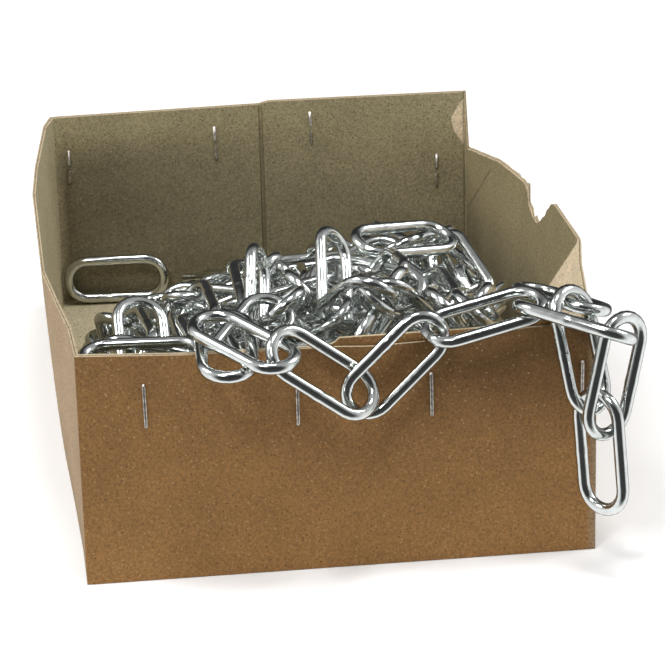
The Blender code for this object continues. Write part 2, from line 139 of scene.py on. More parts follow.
# The carton's mesh: steps along each side, places that need a vertex of their own, and heights up the wall
SIDE_STEPS = {"front": 44, "right": 72, "back": 44, "left": 64}
FRONT_MARKS = (-0.0012, 0.0004)
BACK_MARKS = (-0.0822, -0.0010, -0.0005, 0.0005, 0.0010)
MARK_ROOM = 0.008
FOOT_LEVELS = (0.0, 0.02, 0.06)
WALL_STEPS = 14
TOP_LEVELS = (0.985, 1.0)

# The walls' top from outside to inside: share of the wall's thickness, level, if on the flap, and kind
RIM = (
    (0.02, 1.0, False, "edge"),
    (0.40, 1.0, False, "edge"),
    (0.44, 0.985, False, "groove"),
    (0.52, 0.985, False, "groove"),
    (0.54, 0.999, True, "groove"),
    (0.56, 1.0, True, "edge"),
    (0.97, 1.0, True, "edge"),
)
FLAP_INSET = 0.53

# Board colours, linear
KRAFT = np.array((0.215, 0.113, 0.039))
# Painted light: the side walls' outer faces get a paler, lit copy of the kraft, with painted sheen
SIDE_KRAFT_LIT = np.array((0.300, 0.215, 0.130))
GROOVE = np.array((0.172, 0.0904, 0.0312))
CUT_EDGE = np.array((0.360, 0.290, 0.190))
# Painted light: the carton's inner floor, a much lighter copy of the grey-green inside, for the light that
# falls on it from above
FLOOR_BOARD_LIT = np.array((0.450, 0.390, 0.260))
BACK_INSIDE = np.array((0.235, 0.200, 0.115))
RIGHT_INSIDE = np.array((0.232, 0.190, 0.102))
# Painted light: a lighter copy of the grey-green inside, for the light that falls on the left wall's inner
# face; the front panel's inner face gets it too
LIT_INSIDE = np.array((0.3948, 0.3400, 0.21275))
# The pale patches: painted light on the right wall's inner face in front of its crease, and the paler board
# where the back panel's ply is torn off
LIT_PATCH_AND_TORN_PLY = (0.720, 0.580, 0.395)
# Painted shade along the fold and the back panel's cut end
SHADE_LINE_COLOUR = (0.060, 0.048, 0.028)
DARK_SPECK = (0.045, 0.026, 0.013)
PALE_SPECK = (0.50, 0.38, 0.23)

# Painted light and shade: how light the board is by height, and by x the share that the back panel's right
# painted light and shade has in it
# Painted light on the front and back panels' outer faces: lighter towards the foot, where light bounced off
# the floor falls, darker towards the top
END_PANEL_PAINTED_LIGHT = ((0.0, 1.36), (0.020, 1.10), (0.070, 0.90))
# The back panel's inner face: painted shade, darker low down where the heap's shade falls, and painted light,
# lighter towards the top
BACK_LEFT_LIGHT_AND_SHADE = ((0.015, 0.72), (0.040, 0.62), (0.060, 0.78), (0.072, 1.45))
BACK_RIGHT_LIGHT_AND_SHADE = ((0.015, 0.72), (0.040, 1.05), (0.060, 1.33), (0.072, 1.42))
BACK_TO_RIGHT = ((-0.060, 0.0), (0.060, 1.0))
# Painted shade on the right wall's inner face: darker towards the bottom, beside the heap
RIGHT_PAINTED_SHADE = ((0.020, 0.40), (0.050, 1.0))

# Painted shadow of the chain that hangs over the front panel's top right: where it lies by x and by height,
# and how much darker it makes the panel
CHAIN_SHADOW_BY_X = ((0.010, 0.0), (0.035, 1.0))
CHAIN_SHADOW_BY_HEIGHT = ((0.036, 0.0), (0.062, 1.0))
CHAIN_SHADOW_STRENGTH = 0.34

# The height below which the inside is floor, and the value of a distance that isn't near
FLOOR_BELOW = 0.002
ELSEWHERE = -0.01

# Stitches as (x, height of the foot), their form, their flattened wire, and how far they lean at random
FRONT_STITCHES = ((-0.0615, 0.0527), (-0.0135, 0.0503), (0.0290, 0.0503), (0.0773, 0.0510))
BACK_STITCHES = ((-0.0762, 0.0500), (-0.0184, 0.0565), (0.0196, 0.0605), (0.0697, 0.0400))
STITCH_LENGTH = 0.0145
STITCH_LEG = 0.0062
STITCH_BEND = 0.0009
STITCH_BEND_STEPS = 5
CROWN_STANDOFF = 0.00062
LEG_STANDOFF = 0.00055
STITCH_HALF_WIDTH = 0.00058
STITCH_HALF_THICKNESS = 0.00042
STITCH_SIDES = 10
STITCH_LEAN = 0.03
STITCH_SEED = 3

# Links: their sizes, a strand's pitch, and a mesh's steps round a bend and round the wire
WIRE = 0.0040
LINK_LENGTH = 0.0420
LINK_WIDTH = 0.0196
BEND_RADIUS = (LINK_WIDTH - WIRE) / 2
HALF_STRAIGHT = (LINK_LENGTH - LINK_WIDTH) / 2
PITCH = 0.0335
NAMED_LINK_STEPS = (12, 16)
LOOSE_LINK_STEPS = (9, 12)

# The butt weld: its swelling as a share of the wire, its form as (along the wire, share of the swelling),
# and how far from the side's middle it may lie, as a share of half the straight
WELD_SWELL = 0.055
WELD_FORM = ((0.0026, 0), (0.0012, 0.35), (0.0005, 1), (-0.0005, 1), (-0.0012, 0.35), (-0.0026, 0))
WELD_STRAY = 0.3

# Settling: the room between wires, a link's radius of gyration, the room for wires inside the carton, how
# strongly walls push and links give way, the rounds, and the least numbers that are divided by
CLEARANCE = 0.0003
TOUCHING = WIRE + CLEARANCE
GYRATION = 0.0145
FLOOR = PLY + CLEARANCE
ROOM_X = HALF_WIDTH - PLY - CLEARANCE - WIRE / 2
ROOM_Y = HALF_DEPTH - END_WALL - CLEARANCE - WIRE / 2
WALL_WEIGHT = 0.8
OVERSHOOT = 1.4
SETTLING_ROUNDS = 180
EASING_ROUNDS = 130
FALL_PER_ROUND = 0.00010
RELIST = 6
LIST_MARGIN = 0.0012
LEAST_SPREAD = 1e-16
LEAST_GAP = 1e-7
LEAST_RESPONSE = 1e-9

# The mound of the heap: where it ends, its ridge and flanks along y, and its left edge
CORE_FRONT = -0.1270
CORE_BACK = 0.1180
CORE_RIGHT = 0.0780
CORE_LEFT = ((-0.132, -0.0770), (0.020, -0.0750), (0.070, -0.0520), (0.120, -0.0300))
CORE_RIDGE = (
    (-0.132, 0.056), (-0.100, 0.056), (-0.060, 0.052), (-0.010, 0.040), (0.040, 0.032), (0.080, 0.019),
    (0.120, 0.009),
)
CORE_RISE_TO_RIGHT = 0.18
CORE_SHOULDER = 0.35
CORE_LEFT_FOOT = ((-0.060, 0.75), (0.030, 0.40), (0.080, 0.15))
CORE_RIGHT_FOOT = ((-0.090, 0.75), (-0.040, 0.32))

# Layers of loose chain: share of the mound's height, lift along y, distance of the runs, if they go along y.
# Then where the runs lie, their steps, their room to the mound's left edge, and how far they stray.
LEVEL = ((0.0, 0.0), (0.1, 0.0))
TOP_LIFT = ((-0.120, 0.016), (-0.060, 0.013), (0.000, 0.008), (0.060, 0.002))
LAYERS = (
    (0.10, LEVEL, 0.0215, True),
    (0.36, LEVEL, 0.0215, False),
    (0.62, LEVEL, 0.0215, True),
    (0.88, LEVEL, 0.0220, False),
    (1.00, TOP_LIFT, 0.0215, True),
)
RUN_FRONT = CORE_FRONT + 0.012
RUN_BACK = CORE_BACK - 0.004
DEPTH_RUN_STEPS = 6
DEPTH_RUN_LEFT = -0.064
DEPTH_RUN_RIGHT = 0.070
DEPTH_RUN_ROOM = 0.006
CROSS_RUN_STEPS = 5
CROSS_RUN_RIGHT = 0.068
CROSS_RUN_ROOM = 0.010
STRAY_ALONG = 0.006
STRAY_ASIDE = 0.005
STRAY_UP = 0.002
LAYER_RAISED = 0.004

# Single strands over the heap's crest, and how the links of a strand turn about it
CREST = (
    (
        (0.000, -0.020, 0.062), (0.030, -0.012, 0.068), (0.048, 0.006, 0.068), (0.060, 0.020, 0.052),
        (0.068, 0.030, 0.030),
    ),
    (
        (0.068, -0.055, 0.046), (0.058, -0.030, 0.056), (0.046, 0.000, 0.062), (0.030, 0.034, 0.054),
        (0.000, 0.040, 0.048),
    ),
    ((0.070, 0.020, 0.024), (0.064, -0.008, 0.044), (0.050, -0.046, 0.056), (0.030, -0.060, 0.062)),
)
FIRST_ROLL = 45
NEXT_ROLL = 90
ROLL_STRAY = 12
CURVE_STEPS = 20
LINK_SEED = 5
LINK_GROUPS = ("front", "middle", "back")

# Noises, each as (scale, detail, roughness): the board's clouds, fibres and grain with the range of their
# tone, its specks with the span that shows them and their strength, its dull places and its bumps
BOARD_TONES = (
    ((38, 4, 0.6), (0.90, 1.10)),
    ((1100, 3, 0.7), (0.70, 1.30)),
    ((2600, 1, 0.5), (0.86, 1.14)),
)
BOARD_DARK_SPECKS = (1500, 1, 0.5)
DARK_SPECK_SPAN = (0.65, 0.70)
DARK_SPECK_STRENGTH = 0.85
PALE_SPECK_SCALE = 480
PALE_SPECK_SPAN = (0.09, 0.17)
PALE_SPECK_STRENGTH = 0.38
BOARD_DULL_PLACES = (500, 2, 0.55)
BOARD_DULLNESS = (0.78, 0.92)
BOARD_BUMPS = (700, 3, 0.65)
BOARD_BUMP_STRENGTH = 0.25
BOARD_BUMP_DEPTH = 0.0003
BOARD_SPECULAR = 0.25

# The span over which a pale patch begins (painted light on the right wall, torn ply at the back), the span
# over which the fold's painted shade line ends, and its strength
PATCH_EDGE = (-0.0003, 0.0003)
SHADE_LINE_EDGE = (0.0002, 0.0009)
SHADE_LINE_STRENGTH = 0.60

# The parts of a noise's values that are spread
NOISE_MIDDLE = (0.3, 0.7)
NOISE_CORE = (0.35, 0.65)

# Metals, with linear colours, noises as above, and the range of the shader's roughness
ZINC = {
    "colour": (0.61, 0.635, 0.62),
    "cloud_colour": (0.5246, 0.5461, 0.5332),
    "clouds": (260, 3, 0.6),
    "dull_places": (420, 3, 0.6),
    "dullness": (0.105, 0.225),
    "bumps": (260, 2, 0.5),
    "bump_strength": 0.05,
    "bump_depth": 0.0004,
}
STEEL = {
    "colour": (0.78, 0.75, 0.70),
    "cloud_colour": (0.34, 0.30, 0.26),
    "clouds": (700, 3, 0.6),
    "dull_places": (900, 2, 0.55),
    "dullness": (0.28, 0.50),
    "bumps": (1200, 2, 0.5),
    "bump_strength": 0.15,
    "bump_depth": 0.0002,
}

# The angles from which an edge is sharp
CARTON_SHARP = 40
LINK_SHARP = 60
STITCH_SHARP = 80

# Names of the Map Range node's sockets, and numbers of the Mix node's colour sockets
MAP_SOCKETS = ("From Min", "From Max", "To Min", "To Max")
MIX_FIRST = 6
MIX_SECOND = 7
MIX_RESULT = 2


def unit(vectors):
    return vectors / np.linalg.norm(vectors, axis=-1, keepdims=True)


def dot(first, second):
    return (first * second).sum(-1)


def profile(points, place):
    """The value at a place on the straight lines between the points."""
    places, values = zip(*points)
    return np.interp(place, places, values)


def bow_share(z):
    """The share of its bow that a side wall has at a height."""
    return BOW_AT_FOOT + (1 - BOW_AT_FOOT) * (np.maximum(z, 0.0) / CARTON_HEIGHT) ** BOW_POWER


# The links and how they lie


def link_outline(arc_steps, straight_steps):
    """Places (along, across) round the middle of a link's wire, counter-clockwise."""
    turns = [math.pi * (i / arc_steps - 0.5) for i in range(arc_steps + 1)]
    arc = [(HALF_STRAIGHT + BEND_RADIUS * math.cos(t), BEND_RADIUS * math.sin(t)) for t in turns]
    shares = [1 - 2 * i / straight_steps for i in range(1, straight_steps)]
    half = arc + [(share * HALF_STRAIGHT, BEND_RADIUS) for share in shares]
    return np.array(half + [(-x, -y) for x, y in half])


# The coarse outlines by which links touch each other, and touch the floor and the walls
OUTLINE = link_outline(arc_steps=5, straight_steps=1)
WALL_OUTLINE = link_outline(arc_steps=5, straight_steps=4)


def link_frame(axis, roll_degrees):
    """The three directions of a link along an axis: its length, its width and its normal."""
    axis = unit(axis)
    level = unit(np.cross((0.0, 0.0, 1.0), axis))
    roll = math.radians(roll_degrees)
    width = math.cos(roll) * level + math.sin(roll) * np.cross(axis, level)
    return np.array((axis, width, np.cross(axis, width)))


def node_pose(node):
    """The middle and directions of a link of the frame, from its mesh."""
    mesh = node.data
    points = np.empty(len(mesh.vertices) * 3)
    mesh.vertices.foreach_get("co", points)
    points = np.array(node.matrix_world)[:3, :3] @ points.reshape(-1, 3).T
    points = points.T + np.array(node.matrix_world)[:3, 3]
    points = np.unique(np.round(points, decimals=6), axis=0)
    middle = points.mean(axis=0)
    directions = np.linalg.svd(points - middle, full_matrices=False)[2]
    directions[2] = np.cross(directions[0], directions[1])
    return middle, directions


def closest_places(start, step, other_start, other_step):
    """The closest places of each pair of straight stretches."""
    offset = start - other_start
    length, other_length = dot(step, step), dot(other_step, other_step)
    both, along, other_along = dot(step, other_step), dot(step, offset), dot(other_step, offset)
    spread = np.maximum(length * other_length - both * both, LEAST_SPREAD)
    share = np.clip((both * other_along - along * other_length) / spread, 0, 1)
    other_share = np.clip((both * share + other_along) / other_length, 0, 1)
    share = np.clip((both * other_share - along) / length, 0, 1)
    return start + share[:, None] * step, other_start + other_share[:, None] * other_step


def room_pushes(places):
    """The push on each place of a wire that keeps it on the floor and inside the carton's walls."""
    x, y, z = places[..., 0], places[..., 1], places[..., 2]
    pushes = np.zeros_like(places)
    pushes[..., 2] = np.maximum(FLOOR + WIRE / 2 - z, 0)
    share = bow_share(z)
    right = x - ROOM_X - profile(RIGHT_BOW, y) * share
    left = -x - ROOM_X - profile(LEFT_BOW, y) * share
    pushes[..., 0] = np.maximum(left, 0) - np.maximum(right, 0)
    pushes[..., 1] = np.maximum(-ROOM_Y - y, 0) - np.maximum(y - ROOM_Y, 0)
    return pushes


class Heap:
    """Links that lie together, each by its middle, directions and mobility, which is 0 for a fixed one."""

    def __init__(self):
        self.middles = np.empty((0, 3))
        self.frames = np.empty((0, 3, 3))
        self.mobility = np.empty(0)
        self.near = None

    def add(self, middle, directions, mobility):
        self.middles = np.vstack([self.middles, middle])
        self.frames = np.concatenate([self.frames, [directions]])
        self.mobility = np.append(self.mobility, mobility)

    def routes(self, outline):
        """The places of an outline on every link."""
        along = outline[None, :, :1] * self.frames[:, None, 0]
        across = outline[None, :, 1:] * self.frames[:, None, 1]
        return self.middles[:, None] + along + across

    def list_near(self, routes):
        """Lists the pairs of straight stretches that may touch before the next listing."""
        steps = np.roll(routes, -1, axis=1) - routes
        reach = np.linalg.norm(steps, axis=2) / 2
        centres = routes + steps / 2
        apart = np.linalg.norm(self.middles[:, None] - self.middles, axis=2)
        moves = self.mobility[:, None] + self.mobility > 0
        one, other = np.nonzero(np.triu((apart < LINK_LENGTH + WIRE) & moves, 1))
        between = np.linalg.norm(centres[one][:, :, None] - centres[other][:, None], axis=3)
        bound = reach[one][:, :, None] + reach[other][:, None] + TOUCHING + LIST_MARGIN
        pair, i, k = np.nonzero(between < bound)
        self.near = one[pair], i, other[pair], k

    def relax(self, listing, fall):
        """Pushes overlapping wires apart and back into the carton, once."""
        routes = self.routes(OUTLINE)
        if listing:
            self.list_near(routes)
        steps = np.roll(routes, -1, axis=1) - routes
        one, i, other, k = self.near
        place, other_place = closest_places(routes[one, i], steps[one, i], routes[other, k], steps[other, k])
        gap = np.linalg.norm(place - other_place, axis=1)
        close = (gap < TOUCHING) & (gap > LEAST_GAP)
        one, other, gap = one[close], other[close], gap[close]
        place, other_place = place[close], other_place[close]
        direction = (place - other_place) / gap[:, None]
        response = self.response(one, place, direction)
        other_response = self.response(other, other_place, direction)
        push = direction * ((TOUCHING - gap) / (response + other_response + LEAST_RESPONSE))[:, None]
        wall_places = self.routes(WALL_OUTLINE)
        walls = room_pushes(wall_places)
        who, spot = np.nonzero(walls.any(axis=2))
        self.give_way(
            np.concatenate([one, other, who]),
            np.concatenate([place, other_place, wall_places[who, spot]]),
            np.concatenate([push, -push, walls[who, spot] * WALL_WEIGHT]),
            fall,
        )

    def response(self, who, places, direction):
        """How readily each link gives way at a place in a direction."""
        lever = np.cross(places - self.middles[who], direction) / GYRATION
        return self.mobility[who] * (1 + dot(lever, lever))

    def give_way(self, who, places, pushes, fall):
        """Shifts and turns the links by the mean of their pushes, and lets them fall a little."""
        count = np.maximum(np.bincount(who, minlength=len(self.middles)), 1)[:, None]
        pushes = pushes * self.mobility[who][:, None]
        shift, turn = np.zeros_like(self.middles), np.zeros_like(self.middles)
        np.add.at(shift, who, pushes)
        np.add.at(turn, who, np.cross(places - self.middles[who], pushes) / GYRATION**2)
        self.middles = self.middles + OVERSHOOT * shift / count
        self.middles[:, 2] -= fall * (self.mobility > 0)
        turned = self.frames + np.cross((OVERSHOOT * turn / count)[:, None], self.frames)
        axis = unit(turned[:, 0])
        width = unit(turned[:, 1] - dot(turned[:, 1], axis)[:, None] * axis)
        self.frames = np.stack([axis, width, np.cross(axis, width)], axis=1)

    def settle(self):
        """Lets the links fall ever more slowly, eases them apart, and lifts those still below the floor."""
        for number in range(SETTLING_ROUNDS + EASING_ROUNDS):
            fall = FALL_PER_ROUND * max(0.0, 1 - number / SETTLING_ROUNDS)
            self.relax(number % RELIST == 0, fall)
        lowest = self.routes(WALL_OUTLINE)[..., 2].min(axis=1)
        self.middles[:, 2] += np.maximum(FLOOR + WIRE / 2 - lowest, 0) * (self.mobility > 0)


def mound_top(x, y):
    """The height of the heap's mound at a place."""
    left = profile(CORE_LEFT, y)
    share = np.clip((x - left) / (CORE_RIGHT - left), 0, 1)
    height = profile(CORE_RIDGE, y) * (1 + CORE_RISE_TO_RIGHT * (share - 0.5))
    left_foot = profile(CORE_LEFT_FOOT, y)
    left_flank = left_foot + (1 - left_foot) * np.minimum(share / CORE_SHOULDER, 1)
    right_foot = profile(CORE_RIGHT_FOOT, y)
    right_flank = right_foot + (1 - right_foot) * np.minimum((1 - share) / CORE_SHOULDER, 1)
    return FLOOR + height * np.minimum(left_flank, right_flank)


def strand_joints(points):
    """Places one pitch apart along a smooth line through the points."""
    points = np.array([points[0], *points, points[-1]])
    line = []
    for a, b, c, d in zip(points, points[1:], points[2:], points[3:]):
        for t in np.linspace(0, 1, CURVE_STEPS, endpoint=False):
            curve = 2 * b + (c - a) * t + (2 * a - 5 * b + 4 * c - d) * t**2 + (3 * b - a - 3 * c + d) * t**3
            line.append(curve / 2)
    joints = [line[0]]
    for point in line:
        ahead = point - joints[-1]
        distance = np.linalg.norm(ahead)
        if distance >= PITCH:
            joints.append(joints[-1] + ahead / distance * PITCH)
    return joints


def depth_runs(spacing):
    """Runs from front to back over the mound, from left to right."""
    runs = []
    x = DEPTH_RUN_LEFT
    while x < DEPTH_RUN_RIGHT:
        steps = np.linspace(RUN_FRONT, RUN_BACK, DEPTH_RUN_STEPS)
        runs.append([(x, y) for y in steps if x > profile(CORE_LEFT, y) + DEPTH_RUN_ROOM])
        x += spacing
    return runs


def cross_runs(spacing):
    """Runs from left to right over the mound, from front to back."""
    runs = []
    y = RUN_FRONT
    while y < RUN_BACK:
        left = profile(CORE_LEFT, y) + CROSS_RUN_ROOM
        runs.append([(x, y) for x in np.linspace(left, CROSS_RUN_RIGHT, CROSS_RUN_STEPS)])
        y += spacing
    return runs


def lay_layer(heap, share, lift, spacing, along_depth, chance):
    """One strand to and fro over the mound, at a share of its height."""
    if along_depth:
        runs, stray_x, stray_y = depth_runs(spacing), STRAY_ASIDE, STRAY_ALONG
    else:
        runs, stray_x, stray_y = cross_runs(spacing), STRAY_ALONG, STRAY_ASIDE
    way = []
    for number, run in enumerate(runs):
        for x, y in run if number % 2 == 0 else run[::-1]:
            way.append((x + chance.gauss(0, stray_x), y + chance.gauss(0, stray_y)))
    joints = []
    for x, y in strand_joints(way):
        raised = LAYER_RAISED + profile(lift, y) + chance.gauss(0, STRAY_UP)
        joints.append(np.array((x, y, FLOOR + (mound_top(x, y) - FLOOR) * share + raised)))
    lay_strand(heap, joints, chance)


def lay_strand(heap, joints, chance):
    """A link between each two joints, every second one turned across."""
    for number, (start, end) in enumerate(zip(joints, joints[1:])):
        roll = FIRST_ROLL + NEXT_ROLL * (number % 2) + chance.gauss(0, ROLL_STRAY)
        heap.add((start + end) / 2, link_frame(end - start, roll), 1.0)


# Meshes


def finish_object(name, bm, material, sharp):
    """Makes an object of a mesh, smooth but for edges sharper than an angle, that rides the root."""
    bmesh.ops.recalc_face_normals(bm, faces=bm.faces)
    mesh = bpy.data.meshes.new(name)
    bm.to_mesh(mesh)
    bm.free()
    mesh.materials.append(material)
    mesh.shade_smooth()
    mesh.set_sharp_from_angle(angle=math.radians(sharp))
    obj = bpy.data.objects.new(name, mesh)
    bpy.context.scene.collection.objects.link(obj)
    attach(obj, "root")
    return obj


def wire_ring(bm, place, across, out, width, thickness, sides):
    """One ring of vertices round a wire."""
    ring = []
    for k in range(sides):
        turn = 2 * math.pi * k / sides
        ring.append(bm.verts.new(place + width * math.cos(turn) * across + thickness * math.sin(turn) * out))
    return ring


def join_rings(bm, rings):
    for first, second in zip(rings, rings[1:]):
        for k in range(len(first)):
            n = (k + 1) % len(first)
            bm.faces.new((first[k], first[n], second[n], second[k]))


def cap_ends(bm, rings):
    bm.faces.new(reversed(rings[0]))
    bm.faces.new(rings[-1])


def welded_outline(arc_steps, weld):
    """A link's outline with its weld on one side, and the share of the weld's swelling at each place."""
    outline = link_outline(arc_steps, straight_steps=2)
    start = arc_steps + 1
    weld_places = [(weld + along, BEND_RADIUS) for along, _ in WELD_FORM]
    places = np.vstack([outline[:start], weld_places, outline[start + 1:]])
    swelling = np.zeros(len(places))
    swelling[start:start + len(WELD_FORM)] = [share for _, share in WELD_FORM]
    return places, swelling


def link_mesh(bm, middle, directions, steps, chance):
    """A smooth link with the swelling of its butt weld near the middle of one side."""
    arc_steps, sides = steps
    weld = chance.uniform(-WELD_STRAY, WELD_STRAY) * HALF_STRAIGHT
    places, swelling = welded_outline(arc_steps, weld)
    rings = []
    for i, place in enumerate(places):
        ahead = unit(places[(i + 1) % len(places)] - places[i - 1])
        outwards = ahead[1] * directions[0] - ahead[0] * directions[1]
        centre = middle + place[0] * directions[0] + place[1] * directions[1]
        radius = WIRE / 2 * (1 + WELD_SWELL * swelling[i])
        rings.append(wire_ring(bm, centre, outwards, directions[2], radius, radius, sides))
    join_rings(bm, rings + rings[:1])


def carton_stations():
    """Places round the carton as (side, share along it from -1 to 1), counter-clockwise."""
    marks = {
        "front": [x / HALF_WIDTH for x in FRONT_MARKS],
        "right": [y / HALF_DEPTH for y, _ in RIGHT_TOP[1:-1]],
        "back": [x / HALF_WIDTH for x in BACK_MARKS],
        "left": [],
    }
    stations = []
    for side, count in SIDE_STEPS.items():
        shares = [2 * i / count - 1 for i in range(count)]
        shares = [share for share in shares if all(abs(share - mark) > MARK_ROOM for mark in marks[side])]
        stations += [(side, share) for share in sorted(shares + marks[side])]
    return stations


def tear(y, inset):
    """How far the right wall's torn top edge strays from its line, most behind the notch."""
    waves = sum(share * math.sin(y * pace + shift * inset) for pace, shift, share in TEAR_WAVES)
    return profile(TEAR_AMOUNT, y) * waves


def crease_depth(y, z):
    """How far the right wall is bent inwards, in front of its crease."""
    return CREASE_DEPTH * min(1.0, max(0.0, profile(FRONT_CREASE, y) - z) / CREASE_REACH)


def wall_place(side, along, inset, level, flap):
    """A place of a wall, by the share of its thickness from outside and the share of its height."""
    half_x = HALF_WIDTH - inset * PLY
    half_y = HALF_DEPTH - inset * END_WALL
    if side == "front":
        x, y = along * half_x, -half_y
        top = profile(FRONT_FLAP_TOP if flap else FRONT_TOP, x)
    elif side == "right":
        x, y = half_x, along * half_y
        top = profile(RIGHT_TOP, y) + tear(y, inset) - (TEAR_SLANT * inset if y > 0.0 else 0)
    elif side == "back":
        x, y = -along * half_x, half_y
        top = profile(BACK_TOP, -along * HALF_WIDTH)
    else:
        x, y = -half_x, -along * half_y
        top = LEFT_TOP
    foot = inset * PLY
    z = foot + level * (top - foot)
    if side == "back" and inset > SEAM_INSET and abs(x) < SEAM_HALF:
        y += SEAM_DEPTH * inset
    if side == "right":
        x += profile(RIGHT_BOW, along * HALF_DEPTH) * bow_share(z) - crease_depth(y, z)
    elif side == "left":
        x -= profile(LEFT_BOW, -along * HALF_DEPTH) * bow_share(z)
    return (x, y, z)


def board_tone(side, kind, place):
    """The board's colour at a place: brown outside, grey-green inside, pale where cut, with painted light and
    shade.
    """
    x, _, z = place
    if kind == "outside":
        if side in ("front", "back"):
            # Kraft with painted light, lighter towards the foot, and at the front's top right the painted
            # shadow of the hanging chain
            return KRAFT * profile(END_PANEL_PAINTED_LIGHT, z) * (1 - chain_shadow_share(side, x, z))
        # The side walls' outer faces: painted light and sheen in a paler copy of the kraft
        return SIDE_KRAFT_LIT
    if kind == "edge":
        return CUT_EDGE
    if kind == "groove":
        return GROOVE
    if z < FLOOR_BELOW:
        # The inner floor's painted light
        return FLOOR_BOARD_LIT
    if side == "right":
        # The right wall's inside with painted shade, darker towards the bottom beside the heap
        return RIGHT_INSIDE * profile(RIGHT_PAINTED_SHADE, z)
    if side == "back":
        to_right = profile(BACK_TO_RIGHT, x)
        # Painted light and shade on the back panel's inner face
        shade = profile(BACK_LEFT_LIGHT_AND_SHADE, z) * (1 - to_right) + profile(BACK_RIGHT_LIGHT_AND_SHADE, z) * to_right
        return BACK_INSIDE * shade
    # The left wall's and the front panel's inner faces, with painted light
    return LIT_INSIDE


def chain_shadow_share(side, x, z):
    """Painted shadow: the front panel is darker at its top right, where the chain that hangs over it casts
    its shadow.
    """
    if side != "front":
        return 0.0
    return CHAIN_SHADOW_STRENGTH * profile(CHAIN_SHADOW_BY_X, x) * profile(CHAIN_SHADOW_BY_HEIGHT, z)


def patch_depth(side, kind, place):
    """How far inside one of the two pale patches a place of the inner faces is, below 0 outside them: painted
    light on the right wall in front of its crease, the torn ply on the back panel.
    """
    x, y, z = place
    if kind == "inside" and side == "right" and z > FLOOR_BELOW:
        return profile(FRONT_CREASE, y) - z
    if kind == "inside" and side == "back":
        return x - profile(TORN_PLY, z)
    return ELSEWHERE


def shade_line_distance(side, inset, place):
    """How far a place of the inner faces lies past the painted shade line of the fold and of the panel's cut
    end at the back right, below 0 elsewhere.
    """
    x, y, z = place
    if inset > FLAP_INSET and side == "right":
        return z - profile(BACK_FOLD, y)
    if inset > FLAP_INSET and side == "back":
        return x - PANEL_END
    return ELSEWHERE


def carton_rings():
    """The carton's rings from the outer foot over the rim to the inner foot, each as RIM has them."""
    start = FOOT_LEVELS[-1]
    steps = [start + (1 - start) * i / WALL_STEPS for i in range(1, WALL_STEPS)]
    levels = [*FOOT_LEVELS, *steps, *TOP_LEVELS]
    outside = [(0.0, level, False, "outside") for level in levels]
    inside = [(1.0, level, True, "inside") for level in reversed(levels)]
    return [*outside, *RIM, *inside]


def build_carton(material):
    bm = bmesh.new()
    tone = bm.verts.layers.float_color.new("tone")
    bare = bm.verts.layers.float.new("bare")
    shade_line = bm.verts.layers.float.new("shade_line")
    stations = carton_stations()
    rings = []
    for inset, level, flap, kind in carton_rings():
        ring = []
        for side, along in stations:
            place = wall_place(side, along, inset, level, flap)
            vertex = bm.verts.new(place)
            vertex[tone] = (*board_tone(side, kind, place), 1.0)
            # The pale patches: painted light on the right wall, torn ply at the back
            vertex[bare] = patch_depth(side, kind, place)
            vertex[shade_line] = shade_line_distance(side, inset, place)
            ring.append(vertex)
        rings.append(ring)
    join_rings(bm, rings)
    cap_ends(bm, rings)
    return finish_object("board_carton", bm, material, CARTON_SHARP)


def build_stitch(name, x, foot, out, lean, material):
    """One stitch: its crown outside the panel, round shoulders and two legs folded flat inside."""
    outer = out * (HALF_DEPTH + CROWN_STANDOFF)
    inner = out * (HALF_DEPTH - END_WALL - LEG_STANDOFF)
    head = foot + STITCH_LENGTH
    turns = np.linspace(0, math.pi / 2, STITCH_BEND_STEPS)
    lower = [
        (outer - out * STITCH_BEND * (1 - math.sin(t)), foot + STITCH_BEND * (1 - math.cos(t))) for t in turns
    ]
    half = [(inner, foot + STITCH_LEG), (inner, foot + STITCH_BEND), *lower]
    route = half + [(y, foot + head - z) for y, z in reversed(half)]
    middle = foot + STITCH_LENGTH / 2
    points = [np.array((x + lean * (z - middle), y, z)) for y, z in route]
    across = np.array((1.0, 0.0, 0.0))
    bm = bmesh.new()
    rings = []
    for i, point in enumerate(points):
        ahead = unit(points[min(i + 1, len(points) - 1)] - points[max(i - 1, 0)])
        out_of_wire = np.cross(ahead, across)
        rings.append(
            wire_ring(bm, point, across, out_of_wire, STITCH_HALF_WIDTH, STITCH_HALF_THICKNESS, STITCH_SIDES)
        )
    join_rings(bm, rings)
    cap_ends(bm, rings)
    obj = finish_object("wire_" + name, bm, material, STITCH_SHARP)
    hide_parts(name)
    return obj


# Materials


